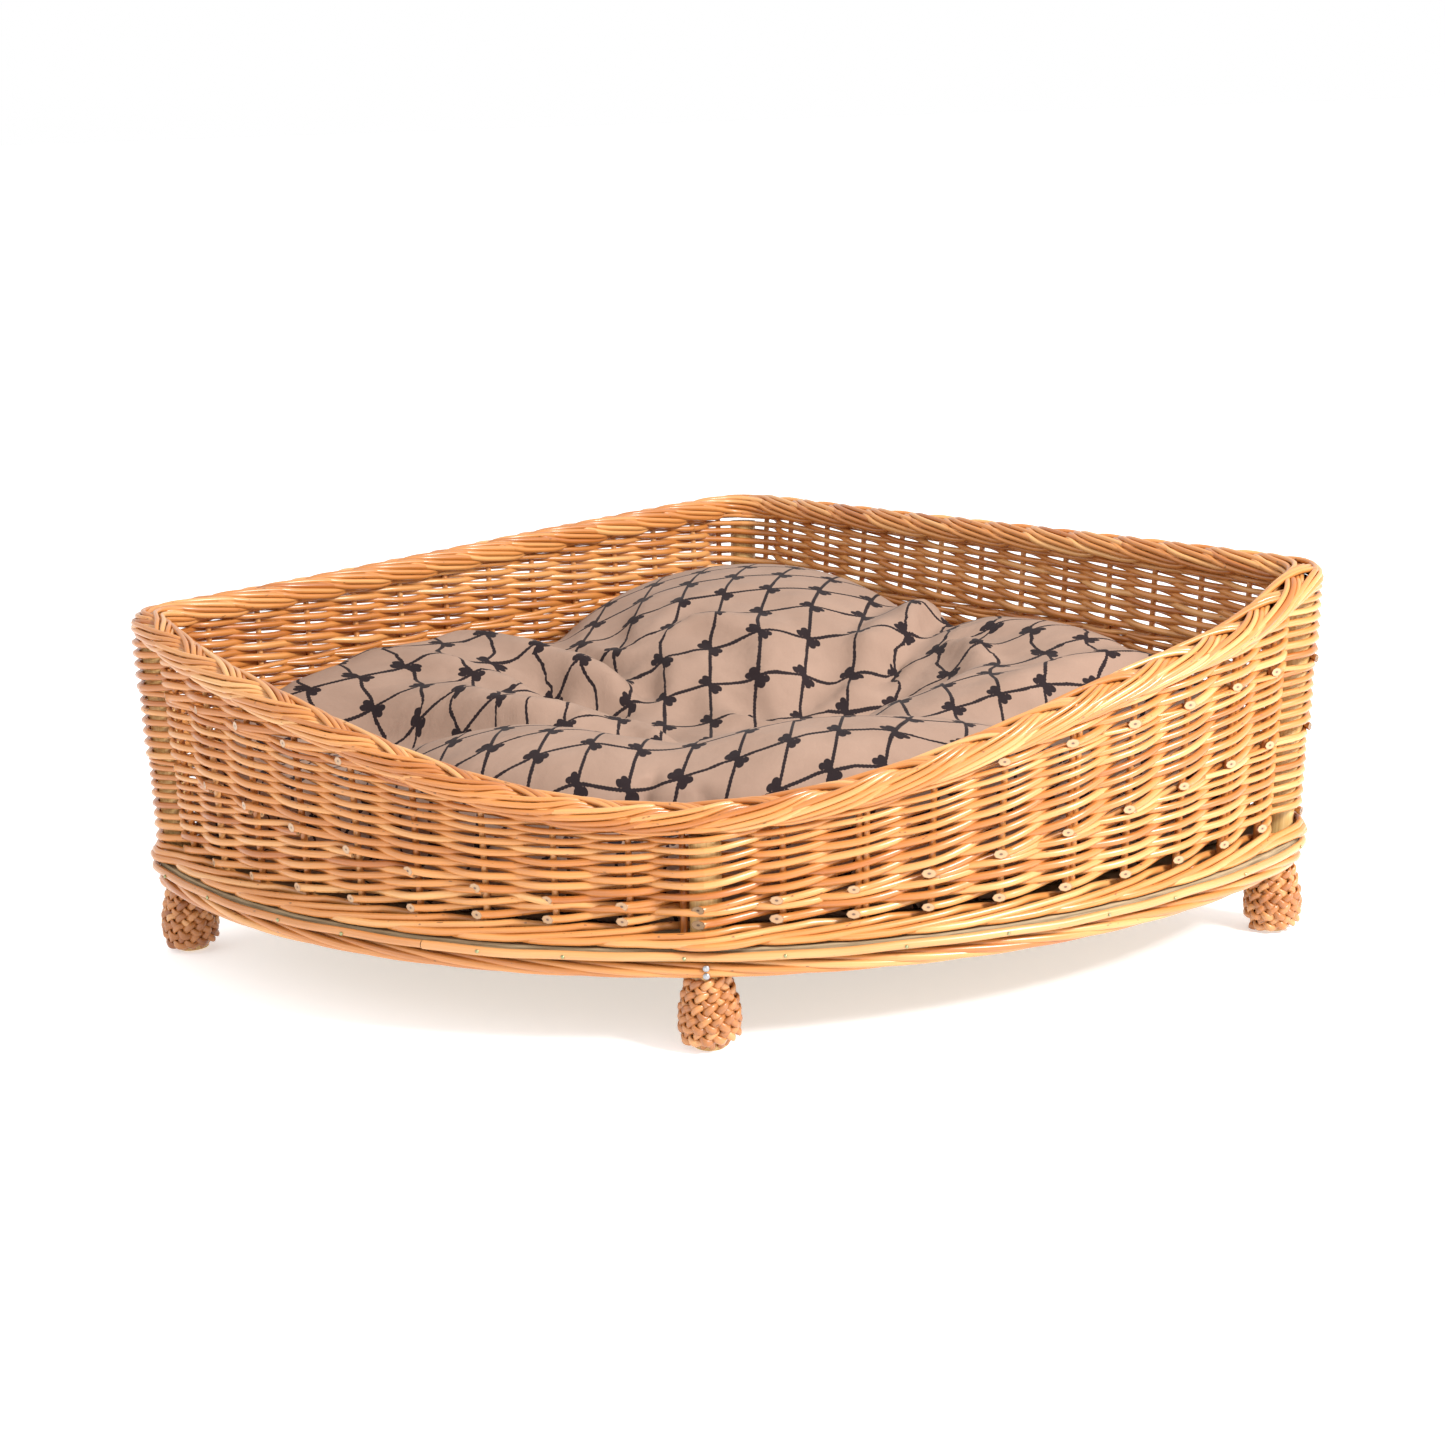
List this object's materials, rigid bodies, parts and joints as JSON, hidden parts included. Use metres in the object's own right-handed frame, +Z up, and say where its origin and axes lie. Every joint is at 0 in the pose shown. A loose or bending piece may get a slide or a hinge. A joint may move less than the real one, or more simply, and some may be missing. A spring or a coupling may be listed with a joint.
{
  "type": "pet bed",
  "caption": "Corner-shaped woven willow pet bed on four post feet, with a low front entrance in its rim and a loose printed cushion.",
  "frame": {"origin": "on the floor, at the middle of the object's length and depth", "axes": "+Z up; -Y towards the low entrance at the front; +Y towards the back corner; +X towards the right-hand corner seen from the front"},
  "size_m": [1.2002, 0.9638, 0.383],
  "materials": {
    "willow_rod": "peeled whole willow rods, boiled honey brown and clear varnished",
    "split_willow": "split willow skeins, plaited and clear varnished",
    "hoop_rod": "thicker peeled willow rod, clear varnished",
    "dowel": "turned pale softwood dowel, unvarnished",
    "plywood": "plywood panel with a bare sawn edge",
    "nail_steel": "plain bright steel",
    "cotton_print": "beige cotton with a dark brown rope lattice and bone print",
    "fibre_filling": "white polyester fibre",
    "zip_nylon": "closed nylon coil zip"
  },
  "bodies": {
    "basket": {"base_board": "plywood", "post_back": "dowel", "post_left": "dowel", "post_front": "dowel", "post_right": "dowel", "foot_back": "split_willow", "foot_left": "split_willow", "foot_front": "split_willow", "foot_right": "split_willow", "foot_nail_back_upper": "nail_steel", "foot_nail_back_lower": "nail_steel", "foot_nail_left_upper": "nail_steel", "foot_nail_left_lower": "nail_steel", "foot_nail_front_upper": "nail_steel", "foot_nail_front_lower": "nail_steel", "foot_nail_right_upper": "nail_steel", "foot_nail_right_lower": "nail_steel", "left_stakes_and_rim": "willow_rod", "left_foot_wale": "willow_rod", "left_lower_siding": "willow_rod", "left_upper_siding": "willow_rod", "left_foot_border": "willow_rod", "front_left_stakes_and_rim": "willow_rod", "front_left_foot_wale": "willow_rod", "front_left_lower_siding": "willow_rod", "front_left_upper_siding": "willow_rod", "front_left_foot_border": "willow_rod", "front_right_stakes_and_rim": "willow_rod", "front_right_foot_wale": "willow_rod", "front_right_lower_siding": "willow_rod", "front_right_upper_siding": "willow_rod", "front_right_foot_border": "willow_rod", "right_stakes_and_rim": "willow_rod", "right_foot_wale": "willow_rod", "right_lower_siding": "willow_rod", "right_upper_siding": "willow_rod", "right_foot_border": "willow_rod", "front_edge_hoop": "hoop_rod", "back_edge_hoop": "hoop_rod"},
    "cushion": {"cushion_cover": "cotton_print", "cushion_filling": "fibre_filling", "cushion_zip": "zip_nylon"}
  },
  "joints": [
    {"name": "cushion_lift", "type": "slide", "parent": "basket", "child": "cushion", "axis": [0, 0, 1], "range_m": [0, 0.3]}
  ]
}
